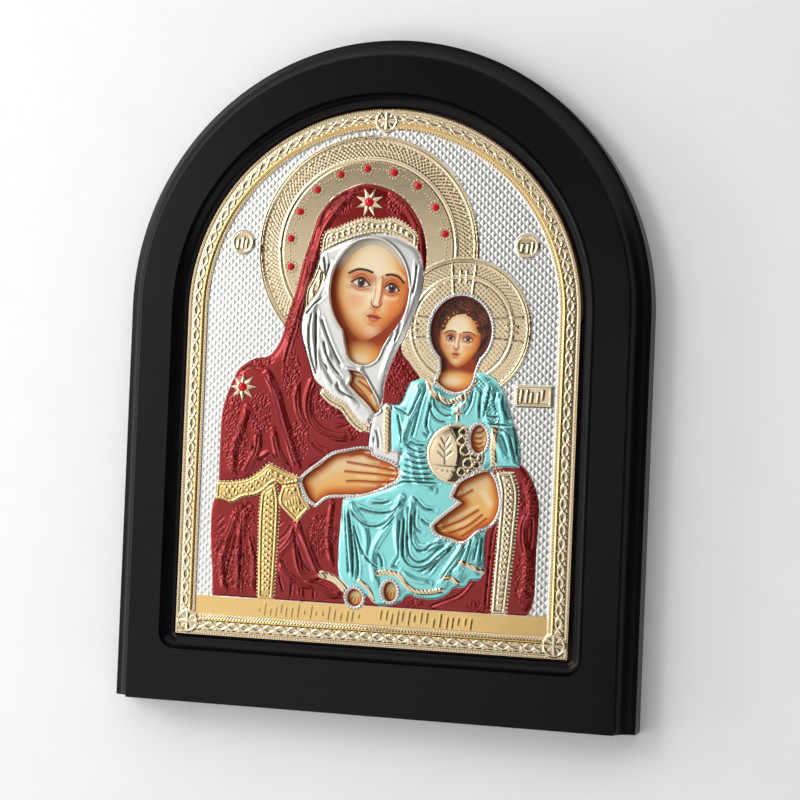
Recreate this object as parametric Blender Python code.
"""Arched icon panel lying on its back: +X to the picture's right, +Y to its top, +Z out of its face.

A black frame with a routed pocket holds a printed board. A pressed metal cover lies over the board
and is cut out over the faces, hands and feet. Small red stones sit on the cover.
"""

import math

import bmesh
import bpy
import numpy as np
from mathutils.geometry import delaunay_2d_cdt

# Driving dimensions, in metres
COVER_WIDTH = 0.188
COVER_SIDE = 0.152  # straight side, below the arch
SIDE_RAIL = 0.031  # from the cover's edge to the frame's outer side
BOTTOM_RAIL = 0.0315
TOP_RAIL = 0.0325
BACK_THICKNESS = 0.007  # wood left behind the pocket
POCKET_DEPTH = 0.012
POCKET_GAP = 0.0018  # round the cover, from edge to pocket wall
POCKET_CORNER = 0.0025
OUTER_COVE = 0.0084
POCKET_COVE = 0.0054
BOARD_THICKNESS = 0.0067
SEAT_GAP = 0.0003  # between pieces that rest on each other
HALO_STONE_RADIUS = 0.0017
STAR_STONE_RADIUS = 0.0022
STONE_HEIGHT = 0.0009

# Heights of the relief, in metres above the cover's back
GROUND = 0.0009
SCRIPT_BAND = 0.0012
BORDER_BAND = 0.0014
BORDER_RAIL = 0.0020
RING_STEP = 0.0002  # a halo's outer ring lies this much below its plate
HALO_PLATE = 0.0015
HALO_RIM = 0.0021
CHILD_PLATE = 0.0019
CHILD_RIM = 0.0025
STAR_RISE = 0.0006
DISC_RISE = 0.0005
RIM_RISE = 0.0005  # round the cut-outs
RIM_WIDTH = 0.0016

# Widths of the border's parts, in metres inward from the cover's edge
RAIL_WIDTH = 0.0016
LINE_PLACE = 0.0070
LINE_WIDTH = 0.0011
BORDER_WIDTH = 0.0095
BOTTOM_BORDER = 0.0095
SCRIPT_HEIGHT = 0.0090

ARCH_STEPS = 48
COVE_STEPS = 5
CORNER_STEPS = 4
STONE_SEGMENTS = 14
STONE_RINGS = 8
SEAT_STEPS = 12
CONCAVE = 0.086  # bevel profile of a hollow quarter circle

# The relief is drawn in millimetres, from the panel's centre line and the frame's bottom edge
DRAWN_WIDTH = 188.0
DRAWN_BOTTOM = 31.5
DRAWN_HEIGHT = 246.0
DRAWN_UNIT = 1000.0
FILL_STEP = 7.0  # between loose points of the cover's net
NEAREST = 1.1  # least room of a loose point
DISC_NEAREST = 0.7
EDGE_WIDTH = 0.05  # a layer starts this far inside its outline
STAR_SLOPE = 0.7  # from a star's edge down to the cloth
PLAQUE_SLOPE = 0.8
LONGEST = 16.0  # between points of a straight line
FILL_ROOM = 0.62  # least room of a filling point, in shares of the step
SHOULDER_PLACES = (0.15, 0.5)  # points across a layer's rounded edge, in shares of its width
RIM_ROOMS = ((0.5, 0.4), (1.5, 0.6))  # place outside a cut-out and least room, in rim widths
DISC_SHARE = 0.85  # a disc's face, in shares of its radius
ORB_SHARES = (0.45, 0.85)
SEAT_SHARES = (0.3, 0.65, 1.0)  # circles under a stone, in shares of its radius
WELD_DRAWN = 0.04
HALO_STEPS = 64
DISC_STEPS = 18

WELD = 1e-6
FLAT_ANGLE = 0.0005  # radians
SHARP_ANGLE = 0.6

MOTHER_HALO = (-7.0, 212.4)
MOTHER_RINGS = (53.0, 51.3, 42.6)  # outside, inside of the rim, edge of the plate
CHILD_HALO = (39.5, 177.5)
CHILD_RINGS = (32.3, 30.8, 24.0)
STONE_RING = 37.7
STONE_FIRST = 12.3
STONE_TURN = 20.0
STONE_COUNT = 10
HOOD_STAR = (-6.4, 234.4)
SHOULDER_STAR = (-64.7, 147.8)
STAR_RADIUS = 7.0
STAR_WAIST = 3.0
ORB = (39.3, 120.8)
ORB_RADIUS = 13.7
ORB_RISE = 1.3
MEDALLIONS = ((-88.0, 37.5), (88.0, 37.5), (0.0, 272.0))
MEDALLION_RADIUS = 5.5
NAME_DISCS = ((-68.0, 215.5), (68.5, 215.5))
NAME_DISC_RADIUS = 5.5
PLAQUE = (65.7, 143.3, 82.7, 152.7)

MANTLE = [
    (21.2, 204.3), (21.5, 211), (20, 220), (18, 225.3), (14.7, 230.7), (10, 236), (4, 240), (-3, 242.4),
    (-10, 243), (-17.3, 240.7), (-24.3, 236.7), (-28.7, 232), (-32, 226.7), (-34, 220), (-36, 213.3),
    (-38, 207.3), (-40.7, 194.7), (-44.7, 181.3), (-46.7, 173.3), (-49.3, 167.3), (-53.3, 162.7),
    (-60, 161.3), (-64, 159.3), (-68, 156), (-70.7, 150.7), (-73, 144.7), (-74.7, 138.7), (-75.5, 132),
    (-75.5, 103.3), (-66, 104), (-60, 105.7), (-55.3, 108.7), (-50.7, 113), (-46.7, 111.3),
    (-40.7, 108.7), (-34, 106), (-26, 112.7), (-13.3, 119.5), (0, 122.5), (12, 130), (22, 148),
    (20.7, 154.7), (16, 160.7), (11.3, 167.7), (13, 173), (16, 181), (19, 192), (20.5, 201),
]
ROBE = [
    (-76.5, 50), (74.7, 50), (76.4, 52.5), (77.7, 58), (78, 78), (78.3, 100), (76, 108), (72, 115),
    (68, 118), (50, 112), (10, 104), (-15, 100), (-35, 107), (-60, 106), (-76.5, 97),
]
HOOD_LINING = [(-30, 207), (-26, 202), (-27, 195), (-31, 188), (-36, 184), (-35.5, 194), (-32.5, 200)]
VEIL = [
    (-29, 211), (-20, 215.3), (-10, 218.8), (-2, 220.3), (5, 219.5), (11, 217), (17, 213.5), (20.3, 204),
    (20, 195), (17, 185), (13, 174), (10, 168), (6, 158), (4, 150), (3.5, 143.5), (0, 136.7),
    (-2.5, 132.3), (-6, 132.7), (-10, 136.7), (-14.7, 142), (-20.7, 144.7), (-25.3, 148.7),
    (-29.3, 152), (-31.3, 156.7), (-34, 164.7), (-36.7, 172.7), (-37.3, 178), (-36, 184), (-30, 192),
    (-26.5, 200), (-29.5, 205),
]
HEADBAND = [
    (-29, 211), (-20, 215.3), (-10, 218.8), (-2, 220.3), (5, 219.5), (11, 217), (17, 213.5), (16.7, 220),
    (13.7, 222.7), (10, 225.3), (5, 227.3), (-1, 226.3), (-7.3, 227.3), (-14.7, 225.3), (-20.7, 222.7),
    (-27, 220.3),
]
VEIL_TRIM = [
    (-25.3, 148.7), (-20.7, 144.7), (-14.7, 142), (-10, 136.7), (-6, 132.7), (-2.5, 132.3), (-2.2, 129.2),
    (-7, 129.4), (-12.3, 133.5), (-16.5, 138.6), (-22, 141.4), (-27, 146),
]
SLEEVE = [(0, 136.7), (-2, 126), (0, 122.5), (4, 120.3), (8.7, 120.7), (7.7, 140.7), (4.7, 142)]
TUNIC = [
    (24, 154.3), (20, 154), (16.7, 152.7), (14.7, 148.7), (12, 142.7), (8, 142), (7.7, 136.7),
    (8.7, 120.7), (14, 120.7), (12, 116), (13.3, 112), (12.7, 108.7), (10, 105.3), (0, 101.3),
    (-13.7, 97.7), (-14.7, 78), (-14.7, 67.7), (-13.7, 62.3), (-9, 58), (-3, 54), (0, 54.3), (4, 51),
    (10, 50.7), (15.3, 52.3), (19.3, 55.7), (25.3, 54.7), (32, 54.7), (37.3, 57), (40.7, 60.3),
    (45.3, 61), (48, 64), (52.7, 65), (54.3, 70), (54.3, 85), (58, 96), (58, 106), (55, 114),
    (57.3, 115.3), (69, 116), (68.7, 123.3), (67.3, 130), (64.7, 136.7), (62.7, 143.3), (60, 150),
    (57.3, 154), (53.3, 156.7), (48, 158), (42, 152), (33, 150),
]
HEM = [
    (-75.8, 103.3), (-66, 104), (-60, 105.7), (-55.3, 108.7), (-50.7, 113), (-46.7, 111.3),
    (-40.7, 108.7), (-35.5, 107), (-35, 104.5), (-43.3, 103), (-46.7, 104.3), (-52.7, 99.7),
    (-56, 97.7), (-62.7, 96.3), (-68, 93.7), (-72.7, 95), (-76.3, 95),
]
CUFF = [
    (-43.3, 103), (-44.7, 95), (-40.7, 90.3), (-35.7, 86), (-32, 90.3), (-29.3, 93), (-32, 96.3),
    (-34.3, 101), (-35, 104.5),
]
LEFT_BAND = [(-53.3, 50), (-45.7, 50), (-45, 75), (-45, 96), (-46.7, 104.3), (-53.3, 99.2)]
RIGHT_BAND = [
    (58.7, 50), (65.3, 50), (66.7, 68), (68, 85), (68.7, 105), (66, 114), (58.4, 113.5), (60.7, 105),
    (60.3, 85), (59.3, 65),
]
MOTHER_RIGHT_HAND = [
    (-34, 105.5), (-30, 110), (-26, 112.7), (-19.3, 118), (-13.3, 119.5), (-6, 121), (-1.5, 121),
    (-1, 118.5), (5, 116.5), (10, 114.5), (12.3, 111.5), (11.5, 108.5), (8, 106), (2, 103), (-5, 100.8),
    (-15, 100), (-22, 99), (-27, 95), (-30, 97), (-33, 102),
]
MOTHER_LEFT_HAND = [
    (54, 113.5), (57, 111), (59, 106), (60, 98), (57.3, 91), (50.7, 87), (44, 81.7), (38.7, 82.7),
    (31.5, 85), (30, 88), (34.7, 92.3), (43, 99), (38.5, 101.5), (41, 107), (46, 110.5),
]
CHILD_RIGHT_HAND = [
    (-14, 157.5), (-7.3, 156.2), (-2.7, 150), (1.3, 143.3), (2.5, 139), (0, 137.5), (-4, 142),
    (-9.3, 146.7), (-13.3, 150.7), (-12, 154),
]

# name, outline, height at the edge, further rise, width of the rounded edge; later ones lie on earlier ones
LAYERS = (
    ("robe", ROBE, 1.0, 0.8, 4.0),
    ("mantle", MANTLE, 1.2, 1.4, 7.0),
    ("left_band", LEFT_BAND, 1.9, 0.3, 1.0),
    ("right_band", RIGHT_BAND, 1.9, 0.3, 1.0),
    ("cuff", CUFF, 1.8, 0.4, 1.5),
    ("hem", HEM, 2.1, 0.5, 1.5),
    ("lining", HOOD_LINING, 2.0, 0.4, 1.5),
    ("veil", VEIL, 1.9, 0.8, 3.0),
    ("headband", HEADBAND, 2.5, 0.4, 1.5),
    ("veil_trim", VEIL_TRIM, 2.3, 0.3, 1.0),
    ("tunic", TUNIC, 1.7, 1.2, 5.0),
    ("sleeve", SLEEVE, 2.1, 0.5, 1.5),
)

# layer, crest height, half width, crest line
FOLDS = (
    ("mantle", 0.9, 2.6, [(-53, 154), (-48, 145), (-44, 134), (-40, 122), (-36.5, 112)]),
    ("mantle", 0.75, 2.2, [(-38, 150), (-38, 143), (-36, 136), (-33, 130.5)]),
    ("mantle", 0.9, 2.4, [(-31, 151), (-33, 143), (-31, 134), (-26, 129), (-20, 126.5), (-12, 126)]),
    ("mantle", 0.75, 2.2, [(-49, 128), (-46, 118), (-41, 111)]),
    ("mantle", 0.75, 2.4, [(-57, 127), (-56, 121), (-59, 114), (-63, 107)]),
    ("mantle", 0.6, 2.0, [(-56, 115), (-50, 117.5), (-46, 115)]),
    ("mantle", 0.6, 1.8, [(-24, 140), (-18, 136.5), (-12, 136.5)]),
    ("mantle", 0.75, 2.6, [(-62, 138), (-65, 128), (-68, 118), (-68, 107)]),
    ("mantle", 0.9, 2.4, [(-13, 240), (-22, 231), (-28, 222), (-32, 208), (-36, 192), (-40, 178)]),
    ("mantle", 0.9, 2.2, [(4, 238), (12, 231), (17.5, 221), (19, 210)]),
    ("robe", 0.75, 2.2, [(-66, 88), (-70, 76), (-72, 64), (-70, 53)]),
    ("robe", 0.75, 2.2, [(-61, 90), (-64, 75), (-63, 55)]),
    ("robe", 0.6, 1.8, [(-58, 78), (-56, 66), (-56, 54)]),
    ("robe", 0.9, 2.2, [(-36, 86), (-30, 75), (-25, 65), (-22, 62)]),
    ("robe", 0.75, 2.0, [(-36, 84), (-40, 76), (-43.5, 71)]),
    ("robe", 0.9, 2.2, [(-44, 67), (-40, 62), (-33, 58), (-25, 57), (-18, 54), (-12, 54.5)]),
    ("robe", 0.75, 2.0, [(-36, 75), (-34, 66), (-30, 61), (-23, 61)]),
    ("robe", 0.75, 1.8, [(-19, 96), (-20, 80), (-18, 68)]),
    ("robe", 0.6, 1.8, [(-33, 56), (-32, 51)]),
    ("robe", 0.75, 2.6, [(73, 110), (75, 98), (71.5, 88), (74, 76), (73, 56)]),
    ("tunic", 0.9, 2.4, [(15, 100), (8, 86), (2, 74), (4, 60)]),
    ("tunic", 0.75, 2.2, [(-12, 94), (-10, 78), (-7, 62)]),
    ("tunic", 0.75, 2.2, [(-10, 96), (-2, 84), (-1, 70)]),
    ("tunic", 0.9, 2.4, [(14, 98), (13, 84), (17, 72), (24, 69), (32, 72), (39, 79)]),
    ("tunic", 0.9, 2.2, [(20, 99), (19, 86), (23, 78), (29, 78), (35, 82)]),
    ("tunic", 0.75, 2.4, [(45, 81), (39, 70), (34, 60)]),
    ("tunic", 0.75, 2.4, [(51, 86), (46, 76), (42, 66)]),
    ("tunic", 0.6, 2.0, [(16, 66), (22, 63), (30, 62)]),
    ("tunic", 0.75, 2.2, [(14, 126), (19, 117), (21, 108), (30, 104)]),
    ("tunic", 0.6, 1.8, [(21, 124), (24, 114), (26, 108)]),
    ("tunic", 0.75, 2.2, [(26, 149), (30, 141), (37, 138), (43, 144)]),
    ("tunic", 0.75, 2.4, [(21, 151), (18, 140), (15, 130), (13, 124)]),
    ("tunic", 0.75, 2.4, [(54, 152), (52, 142), (56, 132), (62, 120)]),
    ("tunic", 0.75, 2.2, [(59, 148), (61, 138), (65, 122)]),
    ("veil", 0.75, 1.8, [(-28, 198), (-32, 184), (-31, 170), (-27, 158), (-21, 149)]),
    ("veil", 0.75, 1.8, [(-24, 166), (-22, 158), (-16, 150), (-9, 141)]),
    ("veil", 0.75, 1.8, [(18, 205), (17, 194), (13, 180), (7, 167), (3, 155)]),
    ("veil", 0.6, 1.6, [(-8, 160), (-5, 150), (-1, 143)]),
)


def arc(centre, radii, first, last, count):
    """Points of an ellipse from one angle to another, in degrees."""
    angles = np.radians(np.linspace(first, last, count))
    return [(centre[0] + radii[0] * math.cos(a), centre[1] + radii[1] * math.sin(a)) for a in angles]


def ring(centre, radii, count):
    return arc(centre, radii, 0.0, 360.0 * (count - 1) / count, count)


def star(centre, outer, inner, first):
    """Eight-rayed star whose first ray points at the angle first, in degrees."""
    points = []
    for i in range(16):
        angle = math.radians(first + 22.5 * i)
        radius = inner if i % 2 else outer
        points.append((centre[0] + radius * math.cos(angle), centre[1] + radius * math.sin(angle)))
    return points


# Cut-outs over the painted faces, hands and feet
OPENINGS = (
    arc((-5.0, 194.0), (19.0, 24.0), -50.0, 230.0, 24)
    + [(-15.0, 166.0), (-14.0, 160.0), (-7.0, 156.5), (-1.0, 160.0), (3.0, 168.0)],
    arc((39.2, 176.5), (14.5, 16.0), -50.0, 230.0, 20)
    + [(30.5, 158.7), (28.7, 153.3), (31.5, 151.0), (36.0, 149.0), (40.5, 149.2), (44.7, 152.0), (46.2, 158.0)],
    MOTHER_RIGHT_HAND,
    MOTHER_LEFT_HAND,
    CHILD_RIGHT_HAND,
    ring((49.7, 128.0), (4.0, 6.3), 14),
    ring((-6.3, 53.2), (3.7, 4.0), 12),
    ring((10.7, 57.0), (3.4, 4.5), 12),
)
STAR_PLACES = ((HOOD_STAR, 22.5), (SHOULDER_STAR, 0.0))
STARS = [star(place, STAR_RADIUS, STAR_WAIST, first) for place, first in STAR_PLACES]
STAR_FEET = [
    star(place, STAR_RADIUS + STAR_SLOPE, STAR_WAIST + STAR_SLOPE, first) for place, first in STAR_PLACES
]


def arch(half, bottom, spring, corner=0.0):
    """Closed outline of an arch, anticlockwise from its lower left, with a half circle over the sides."""
    top = [
        (half * math.cos(math.pi * i / ARCH_STEPS), spring + half * math.sin(math.pi * i / ARCH_STEPS))
        for i in range(ARCH_STEPS + 1)
    ]
    if not corner:
        return [(-half, bottom), (half, bottom)] + top
    left = arc((-half + corner, bottom + corner), (corner, corner), 180.0, 270.0, CORNER_STEPS)
    right = arc((half - corner, bottom + corner), (corner, corner), 270.0, 360.0, CORNER_STEPS)
    return left + right + top


def sizes():
    """Sizes that follow from the driving dimensions."""
    half = COVER_WIDTH / 2
    frame_half = half + SIDE_RAIL
    spring = BOTTOM_RAIL + COVER_SIDE
    height = spring + half + TOP_RAIL
    return {
        "half": half,
        "frame_half": frame_half,
        "spring": spring,
        "height": height,
        "frame_spring": height - frame_half,
        "middle": height / 2,
        "thickness": BACK_THICKNESS + POCKET_DEPTH,
        "board_back": BACK_THICKNESS + SEAT_GAP,
        "cover_back": BACK_THICKNESS + SEAT_GAP + BOARD_THICKNESS + SEAT_GAP,
        "scale": min(COVER_WIDTH / DRAWN_WIDTH, (COVER_SIDE + half) / DRAWN_HEIGHT),
    }


SIZE = sizes()


def shift(outline):
    """Outline moved so that the frame's middle is at the origin."""
    return [(x, y - SIZE["middle"]) for x, y in outline]


def drawn(points):
    """Points of the drawing, in metres from the panel's centre line and the frame's bottom edge."""
    points = np.asarray(points, float).reshape(-1, 2)
    return (points - (0.0, DRAWN_BOTTOM)) * SIZE["scale"] + (0.0, BOTTOM_RAIL)


def edges_of(path, closed):
    path = np.asarray(path, float)
    return (path, np.roll(path, -1, axis=0)) if closed else (path[:-1], path[1:])


def stepped(path, closed):
    """Path with points added along its long straight lines."""
    longest = LONGEST * SIZE["scale"]
    result = []
    start, end = edges_of(path, closed)
    for a, b in zip(start, end):
        pieces = max(1, math.ceil(math.dist(a, b) / longest))
        result += [tuple(a + (b - a) * i / pieces) for i in range(pieces)]
    return result if closed else result + [tuple(end[-1])]


def rectangle(left, low, right, high, inset=0.0):
    left, low, right, high = left + inset, low + inset, right - inset, high - inset
    return [(left, low), (right, low), (right, high), (left, high)]


def distance(points, path, closed):
    """Shortest distance from each point to a path."""
    start, end = edges_of(path, closed)
    best = np.full(len(points), np.inf)
    for a, b in zip(start, end):
        along = b - a
        length = max(float(along @ along), 1e-18)
        t = np.clip((points - a) @ along / length, 0.0, 1.0)
        best = np.minimum(best, np.hypot(*(points - a - t[:, None] * along).T))
    return best


def inside(points, outline):
    """True for each point inside a closed outline."""
    start, end = edges_of(outline, True)
    odd = np.zeros(len(points), bool)
    for (ax, ay), (bx, by) in zip(start, end):
        if ay == by:
            continue
        crosses = (points[:, 1] < max(ay, by)) & (points[:, 1] >= min(ay, by))
        at = ax + (points[:, 1] - ay) * (bx - ax) / (by - ay)
        odd ^= crosses & (points[:, 0] < at)
    return odd


def cover_outline():
    return np.array(stepped(arch(SIZE["half"], BOTTOM_RAIL, SIZE["spring"]), True))


def edge_depth(points):
    """Distance of each point from the cover's edge, inward."""
    side = SIZE["half"] - np.where(
        points[:, 1] > SIZE["spring"],
        np.hypot(points[:, 0], points[:, 1] - SIZE["spring"]),
        np.abs(points[:, 0]),
    )
    return side, points[:, 1] - BOTTOM_RAIL


def rounded(t):
    """Quarter-round step from 0 to 1."""
    t = np.clip(t, 0.0, 1.0)
    return np.sqrt(1.0 - (1.0 - t) ** 2)


def bump(t):
    """Rounded crest: 1 at 0 and 0 from 1 on."""
    return np.clip(1.0 - np.abs(t), 0.0, 1.0) ** 1.3


def border_height(points):
    """Height of the border where there is one, else 0."""
    side, up = edge_depth(points)
    depth = np.minimum(side, up)
    width = np.where(side < up, BORDER_WIDTH, BOTTOM_BORDER)
    rail = np.maximum(bump((depth - RAIL_WIDTH / 2) / RAIL_WIDTH), bump((depth - LINE_PLACE) / LINE_WIDTH))
    height = BORDER_BAND + (BORDER_RAIL - BORDER_BAND) * rail
    return np.where(depth < width, height, 0.0)


def halo_height(points, centre, rings, flat, rim):
    """Height of a halo: raised rim, lower ring and smooth plate."""
    outside, rim_inside, plate_edge = rings
    away = np.hypot(*(points - drawn(centre)[0]).T) / SIZE["scale"]
    height = np.where(away < plate_edge, flat, flat - RING_STEP)
    crest = bump((away - (outside + rim_inside) / 2) / (outside - rim_inside))
    height = height + (rim - height) * crest
    return np.where(away <= outside, height, 0.0)


def relief(points):
    """Height of the cover's face above its back at each point, and the number of the layer on top."""
    unit = SIZE["scale"]
    height = np.full(len(points), GROUND)
    top = np.full(len(points), -1)
    band = points[:, 1] < BOTTOM_RAIL + BOTTOM_BORDER + SCRIPT_HEIGHT
    height[band] = SCRIPT_BAND
    for disc in NAME_DISCS:
        away = np.hypot(*(points - drawn(disc)[0]).T) / unit
        height = np.where(away < NAME_DISC_RADIUS - EDGE_WIDTH, GROUND + DISC_RISE, height)
    low, _, high, _ = drawn(rectangle(*PLAQUE, EDGE_WIDTH))
    height[((points > low) & (points < high)).all(axis=1)] = GROUND + DISC_RISE
    for centre, rings, flat, rim in (
        (MOTHER_HALO, MOTHER_RINGS, HALO_PLATE, HALO_RIM),
        (CHILD_HALO, CHILD_RINGS, CHILD_PLATE, CHILD_RIM),
    ):
        halo = halo_height(points, centre, rings, flat, rim)
        height = np.where(halo > 0.0, halo, height)
    for number, (name, outline, edge, rise, width) in enumerate(LAYERS):
        path = drawn(outline)
        near = (points >= path.min(axis=0)).all(axis=1) & (points <= path.max(axis=0)).all(axis=1)
        where = np.flatnonzero(near)
        away = distance(points[where], path, True)
        held = inside(points[where], path) & (away > EDGE_WIDTH * unit)
        where, away = where[held], away[held]
        height[where] = (edge + rise * rounded(away / (width * unit))) / DRAWN_UNIT
        top[where] = number
        for owner, crest, half_width, line in FOLDS:
            if owner == name:
                fold = crest * bump(distance(points[where], drawn(line), False) / (half_width * unit))
                height[where] += fold / DRAWN_UNIT
    away = np.hypot(*(points - drawn(ORB)[0]).T) / unit
    ball = away < ORB_RADIUS
    dome = CHILD_RIM + ORB_RISE / DRAWN_UNIT * np.sqrt(np.clip(1.0 - (away / ORB_RADIUS) ** 2, 0.0, 1.0))
    height = np.where(ball, dome, height)
    for outline in STARS:
        path = drawn(outline)
        held = inside(points, path) | (distance(points, path, True) < EDGE_WIDTH * unit)
        height[held] += STAR_RISE
    for outline in OPENINGS:
        height += RIM_RISE * bump(distance(points, drawn(outline), True) / RIM_WIDTH - 0.5)
    border = border_height(points)
    height = np.where(border > 0.0, border, height)
    for centre in MEDALLIONS:
        away = np.hypot(*(points - drawn(centre)[0]).T) / unit
        height = np.where(away < MEDALLION_RADIUS - EDGE_WIDTH, BORDER_RAIL, height)
    return height, top


def add_material(name, colour, roughness, metallic):
    material = bpy.data.materials.new(name)
    material.use_nodes = True
    shader = material.node_tree.nodes["Principled BSDF"]
    shader.inputs["Base Color"].default_value = (*colour, 1.0)
    shader.inputs["Roughness"].default_value = roughness
    shader.inputs["Metallic"].default_value = metallic
    return material


def add_object(name, mesh, collection, material):
    mesh.materials.clear()
    mesh.materials.append(material)
    item = bpy.data.objects.new(name, mesh)
    collection.objects.link(item)
    return item


def plate(name, outline, low, high, collection):
    """Flat plate of an outline between two heights, as a mesh object."""
    curve = bpy.data.curves.new(name, "CURVE")
    curve.dimensions = "2D"
    curve.fill_mode = "BOTH"
    curve.extrude = (high - low) / 2
    spline = curve.splines.new("POLY")
    spline.points.add(len(outline) - 1)
    for point, (x, y) in zip(spline.points, outline):
        point.co = (x, y, 0.0, 1.0)
    spline.use_cyclic_u = True
    drawn_curve = bpy.data.objects.new(name + "_outline", curve)
    drawn_curve.location.z = (high + low) / 2
    collection.objects.link(drawn_curve)
    bpy.context.view_layer.update()
    graph = bpy.context.evaluated_depsgraph_get()
    mesh = bpy.data.meshes.new_from_object(drawn_curve.evaluated_get(graph))
    mesh.name = name
    work = bmesh.new()
    work.from_mesh(mesh)
    bmesh.ops.remove_doubles(work, verts=work.verts, dist=WELD)
    bmesh.ops.dissolve_limit(work, angle_limit=FLAT_ANGLE, verts=work.verts, edges=work.edges)
    bmesh.ops.recalc_face_normals(work, faces=work.faces)
    work.to_mesh(mesh)
    work.free()
    item = bpy.data.objects.new(name, mesh)
    item.matrix_world = drawn_curve.matrix_world.copy()
    bpy.data.objects.remove(drawn_curve)
    bpy.data.curves.remove(curve)
    collection.objects.link(item)
    return item


def hollow_edges(work, radius, wanted):
    """Cuts a hollow quarter circle along the edges that wanted picks."""
    edges = [edge for edge in work.edges if wanted(edge)]
    bmesh.ops.bevel(
        work, geom=edges, offset=radius, offset_type="OFFSET", segments=COVE_STEPS, profile=CONCAVE,
        affect="EDGES", clamp_overlap=False,
    )


def build_frame(collection, cutters):
    """Arched board with a routed pocket and hollow mouldings round its face and its pocket."""
    thickness, bottom = SIZE["thickness"], -SIZE["middle"]
    body = plate(
        "frame", shift(arch(SIZE["frame_half"], 0.0, SIZE["frame_spring"])), 0.0, thickness, collection
    )
    pocket_wall = SIZE["half"] + POCKET_GAP
    pocket_outline = arch(pocket_wall, BOTTOM_RAIL - POCKET_GAP, SIZE["spring"], POCKET_CORNER)
    pocket = plate(
        "pocket_cutter", shift(pocket_outline), BACK_THICKNESS, thickness + POCKET_DEPTH, cutters
    )
    pocket.hide_render = True
    pocket.display_type = "WIRE"
    cut = body.modifiers.new("pocket", "BOOLEAN")
    cut.operation = "DIFFERENCE"
    cut.solver = "EXACT"
    cut.object = pocket
    bpy.context.view_layer.update()
    graph = bpy.context.evaluated_depsgraph_get()
    mesh = bpy.data.meshes.new_from_object(body.evaluated_get(graph))
    body.modifiers.clear()
    body.data = mesh
    move = body.matrix_world.translation.z
    work = bmesh.new()
    work.from_mesh(mesh)
    bmesh.ops.translate(work, verts=work.verts, vec=(0.0, 0.0, move))
    body.location.z = 0.0
    middle_y = SIZE["spring"] - SIZE["middle"]

    def on_face(edge):
        return all(abs(vert.co.z - thickness) < WELD for vert in edge.verts) and edge.calc_face_angle(0.0) > 1.0

    def within(edge, reach):
        """True for an edge inside the arch whose half width is reach."""
        return all(
            math.hypot(vert.co.x, max(vert.co.y - middle_y, 0.0)) < reach and vert.co.y > bottom + WELD
            for vert in edge.verts
        )

    def along_bottom(edge):
        return all(vert.co.y < bottom + WELD for vert in edge.verts)

    rail_middle = pocket_wall + SIDE_RAIL / 2
    hollow_edges(
        work, OUTER_COVE, lambda edge: on_face(edge) and not within(edge, rail_middle) and not along_bottom(edge)
    )
    hollow_edges(work, POCKET_COVE, lambda edge: on_face(edge) and within(edge, pocket_wall + POCKET_GAP))
    work.to_mesh(mesh)
    work.free()
    mesh.materials.append(add_material("black_lacquer", (0.012, 0.012, 0.013), 0.35, 0.0))
    mesh.shade_smooth()
    mesh.set_sharp_from_angle(angle=SHARP_ANGLE)


def build_board(collection):
    """Printed board, seen only through the cover's cut-outs."""
    outline = shift(arch(SIZE["half"], BOTTOM_RAIL, SIZE["spring"]))
    low = SIZE["board_back"]
    board = plate("picture_board", outline, low, low + BOARD_THICKNESS, collection)
    board.data.materials.append(add_material("printed_board", (0.55, 0.36, 0.2), 0.5, 0.0))


class Net:
    """Lines and points of the cover's face, gathered before it is divided into triangles."""

    def __init__(self):
        self.points = []
        self.edges = []

    def line(self, path, closed):
        first = len(self.points)
        self.points += [tuple(p) for p in path]
        count = len(path)
        steps = count if closed else count - 1
        self.edges += [(first + i, first + (i + 1) % count) for i in range(steps)]

    def loose(self, candidates, room):
        """Adds the points that have room to everything added before."""
        placed = np.array(self.points)
        for point in candidates:
            if np.hypot(*(placed - point).T).min() > room:
                placed = np.vstack([placed, point])
                self.points.append(tuple(point))


def runs_where(path, closed, keep):
    """Stretches of a path whose edges keep says to hold."""
    start, end = edges_of(path, closed)
    held = keep((start + end) / 2)
    for a, b, good in zip(start, end, held):
        if good:
            yield [a, b]


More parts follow.
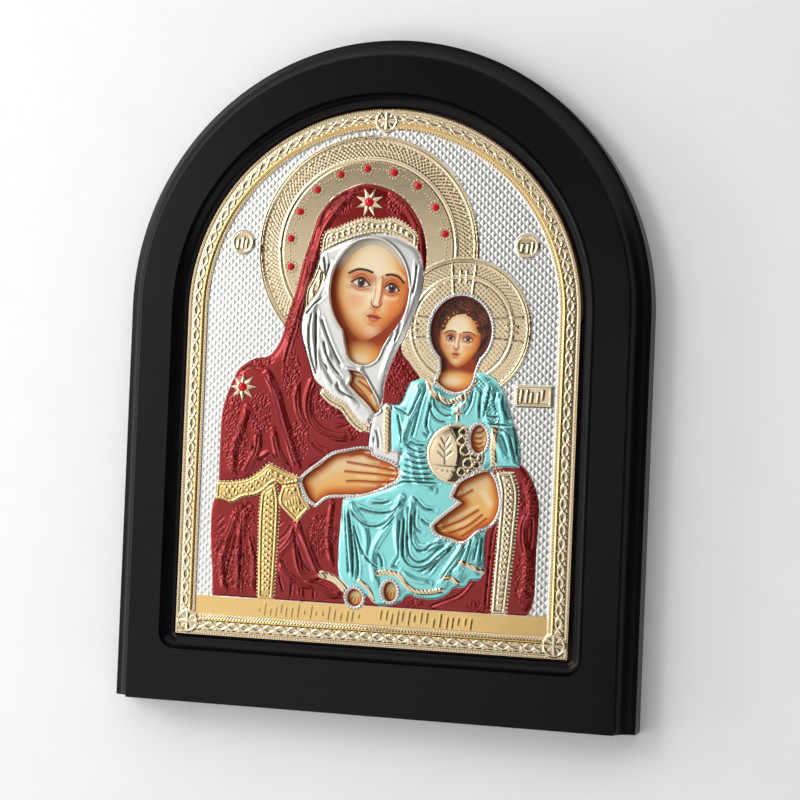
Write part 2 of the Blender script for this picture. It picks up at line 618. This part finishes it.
def gather_lines(net):
    """The outlines, rims and crests that the cover's triangles follow."""
    net.line(cover_outline(), True)
    for outline in OPENINGS:
        net.line(drawn(outline), True)

    def on_layer(number):
        return lambda middles: relief(middles)[1] == number

    def above(number):
        """Keeps a layer's own outline only where no later layer covers it."""
        return lambda middles: relief(middles)[1] < number + 1

    for inset in (RAIL_WIDTH / 2, RAIL_WIDTH * 1.5, LINE_PLACE - LINE_WIDTH, LINE_PLACE, LINE_PLACE + LINE_WIDTH,
                  BORDER_WIDTH):
        net.line(stepped(arch(SIZE["half"] - inset, BOTTOM_RAIL + inset, SIZE["spring"]), True), True)
    top_of_band = BOTTOM_RAIL + BOTTOM_BORDER + SCRIPT_HEIGHT
    reach = SIZE["half"] - BORDER_WIDTH
    net.line(stepped([(-reach, top_of_band), (reach, top_of_band)], False), False)
    for number, (_, outline, _, _, _) in enumerate(LAYERS):
        for run in runs_where(drawn(outline), True, above(number)):
            net.line(run, False)
    for centre, rings in ((MOTHER_HALO, MOTHER_RINGS), (CHILD_HALO, CHILD_RINGS)):
        for radius in (rings[0], (rings[0] + rings[1]) / 2, rings[1], rings[-1]):
            circle = drawn(ring(centre, (radius, radius), HALO_STEPS))
            for run in runs_where(circle, True, on_layer(-1)):
                net.line(run, False)
    for circle_centre, radius in [(ORB, ORB_RADIUS)] + [(c, NAME_DISC_RADIUS) for c in NAME_DISCS]:
        net.line(drawn(ring(circle_centre, (radius, radius), DISC_STEPS)), True)
    for centre in MEDALLIONS:
        net.line(drawn(ring(centre, (MEDALLION_RADIUS, MEDALLION_RADIUS), DISC_STEPS)), True)
    for outline in STARS + STAR_FEET:
        net.line(drawn(outline), True)
    for inset in (0.0, PLAQUE_SLOPE):
        net.line(drawn(rectangle(*PLAQUE, inset)), True)
    names = [layer[0] for layer in LAYERS]
    for owner, _, _, line in FOLDS:
        for run in runs_where(drawn(line), False, on_layer(names.index(owner))):
            net.line(run, False)
    gather_points(net)


def beside(path, offset, closed):
    """Points at an offset to the left of a path's points and middles."""
    start, end = edges_of(path, closed)
    along = end - start
    normal = np.stack([-along[:, 1], along[:, 0]], axis=1) / np.hypot(*along.T)[:, None]
    return np.concatenate([start + normal * offset, (start + end) / 2 + normal * offset])


def gather_points(net):
    """Points beside the outlines, rims and crests, and an even filling between them."""
    unit = SIZE["scale"]
    names = [layer[0] for layer in LAYERS]
    for outline in OPENINGS:
        for place, room in RIM_ROOMS:
            net.loose(beside(drawn(outline), -RIM_WIDTH * place, True), RIM_WIDTH * room)
    for number, (_, outline, _, _, width) in enumerate(LAYERS):
        path = drawn(outline)
        for share in SHOULDER_PLACES:
            for side in (-1.0, 1.0):
                points = beside(path, side * width * share * unit, True)
                good = inside(points, path) & (relief(points)[1] == number)
                net.loose(points[good], NEAREST * unit)
    for owner, _, half_width, line in FOLDS:
        path = drawn(line)
        for side in (-1.0, 1.0):
            points = beside(path, side * half_width * unit, False)
            good = relief(points)[1] == names.index(owner)
            net.loose(points[good], NEAREST * unit)
    inner = [(ORB, ORB_RADIUS * share) for share in ORB_SHARES]
    inner += [(place, NAME_DISC_RADIUS * DISC_SHARE) for place in NAME_DISCS]
    inner += [(place, MEDALLION_RADIUS * DISC_SHARE) for place in MEDALLIONS]
    for place, radius in inner:
        circle = drawn(ring(place, (radius, radius), DISC_STEPS))
        net.loose(circle, DISC_NEAREST * unit)
    step = FILL_STEP * unit
    xs = np.arange(-SIZE["half"], SIZE["half"], step)
    ys = np.arange(BOTTOM_RAIL, SIZE["spring"] + SIZE["half"], step * math.sqrt(3) / 2)
    grid = [(x + step / 2 * (row % 2), y) for row, y in enumerate(ys) for x in xs]
    net.loose(np.array(grid), step * FILL_ROOM)


def build_cover(collection):
    """Pressed cover: its face follows the relief, and its back is flat with its filling."""
    net = Net()
    gather_lines(net)
    points, _, triangles, *_ = delaunay_2d_cdt(net.points, net.edges, [], 0, WELD_DRAWN * SIZE["scale"])
    flat = np.array([tuple(p) for p in points])
    triangles = np.array([tuple(t) for t in triangles])
    centres = flat[triangles].mean(axis=1)
    held = inside(centres, cover_outline())
    for outline in OPENINGS:
        held &= ~inside(centres, drawn(outline))
    heights = relief(flat)[0]
    back = SIZE["cover_back"]
    work = bmesh.new()
    verts = {}
    for triangle in triangles[held]:
        for i in triangle:
            if i not in verts:
                verts[i] = work.verts.new((flat[i][0], flat[i][1] - SIZE["middle"], back + heights[i]))
        work.faces.new([verts[i] for i in triangle])
    bmesh.ops.recalc_face_normals(work, faces=work.faces)
    rim = [edge for edge in work.edges if edge.is_boundary]
    lowered = bmesh.ops.extrude_edge_only(work, edges=rim)["geom"]
    for vert in [part for part in lowered if isinstance(part, bmesh.types.BMVert)]:
        vert.co.z = back
    bottom = [edge for edge in work.edges if edge.is_boundary]
    bmesh.ops.triangle_fill(work, edges=bottom, use_beauty=False, use_dissolve=False)
    bmesh.ops.recalc_face_normals(work, faces=work.faces)
    mesh = bpy.data.meshes.new("metal_cover")
    work.to_mesh(mesh)
    work.free()
    mesh.shade_smooth()
    mesh.set_sharp_from_angle(angle=SHARP_ANGLE)
    add_object("metal_cover", mesh, collection, add_material("pale_gold", (0.75, 0.6, 0.36), 0.3, 1.0))


def seat_height(place, radius):
    """Highest point of the cover's face under a round stone."""
    spread = [ring((0.0, 0.0), (share * radius, share * radius), SEAT_STEPS) for share in SEAT_SHARES]
    points = np.concatenate([np.array(circle) for circle in spread]) + drawn(place)[0]
    return float(relief(points)[0].max())


def build_stone(name, place, radius, collection, material):
    """Low round stone with a flat back, over the highest point of the cover under it."""
    work = bmesh.new()
    bmesh.ops.create_uvsphere(work, u_segments=STONE_SEGMENTS, v_segments=STONE_RINGS, radius=radius)
    bmesh.ops.bisect_plane(
        work, geom=work.verts[:] + work.edges[:] + work.faces[:], plane_co=(0, 0, 0), plane_no=(0, 0, 1),
        clear_inner=True,
    )
    bmesh.ops.contextual_create(work, geom=[edge for edge in work.edges if edge.is_boundary])
    for vert in work.verts:
        vert.co.z *= STONE_HEIGHT / radius
    bmesh.ops.recalc_face_normals(work, faces=work.faces)
    mesh = bpy.data.meshes.new(name)
    work.to_mesh(mesh)
    work.free()
    mesh.shade_smooth()
    mesh.set_sharp_from_angle(angle=SHARP_ANGLE)
    stone = add_object(name, mesh, collection, material)
    x, y = drawn(place)[0]
    stone.location = (x, y - SIZE["middle"], SIZE["cover_back"] + seat_height(place, radius) + SEAT_GAP)


def build_stones(collection):
    red = add_material("red_stone", (0.5, 0.01, 0.02), 0.15, 0.0)
    for i in range(STONE_COUNT):
        angle = math.radians(STONE_FIRST + STONE_TURN * i)
        place = (MOTHER_HALO[0] + STONE_RING * math.cos(angle), MOTHER_HALO[1] + STONE_RING * math.sin(angle))
        build_stone(f"halo_stone_{i + 1:02d}", place, HALO_STONE_RADIUS, collection, red)
    build_stone("hood_star_stone", HOOD_STAR, STAR_STONE_RADIUS, collection, red)
    build_stone("shoulder_star_stone", SHOULDER_STAR, STAR_STONE_RADIUS, collection, red)


def main():
    for item in list(bpy.data.objects):
        bpy.data.objects.remove(item)
    collection = bpy.data.collections.new("icon_panel")
    cutters = bpy.data.collections.new("cutters")
    bpy.context.scene.collection.children.link(collection)
    bpy.context.scene.collection.children.link(cutters)
    build_frame(collection, cutters)
    build_board(collection)
    build_cover(collection)
    build_stones(collection)


main()
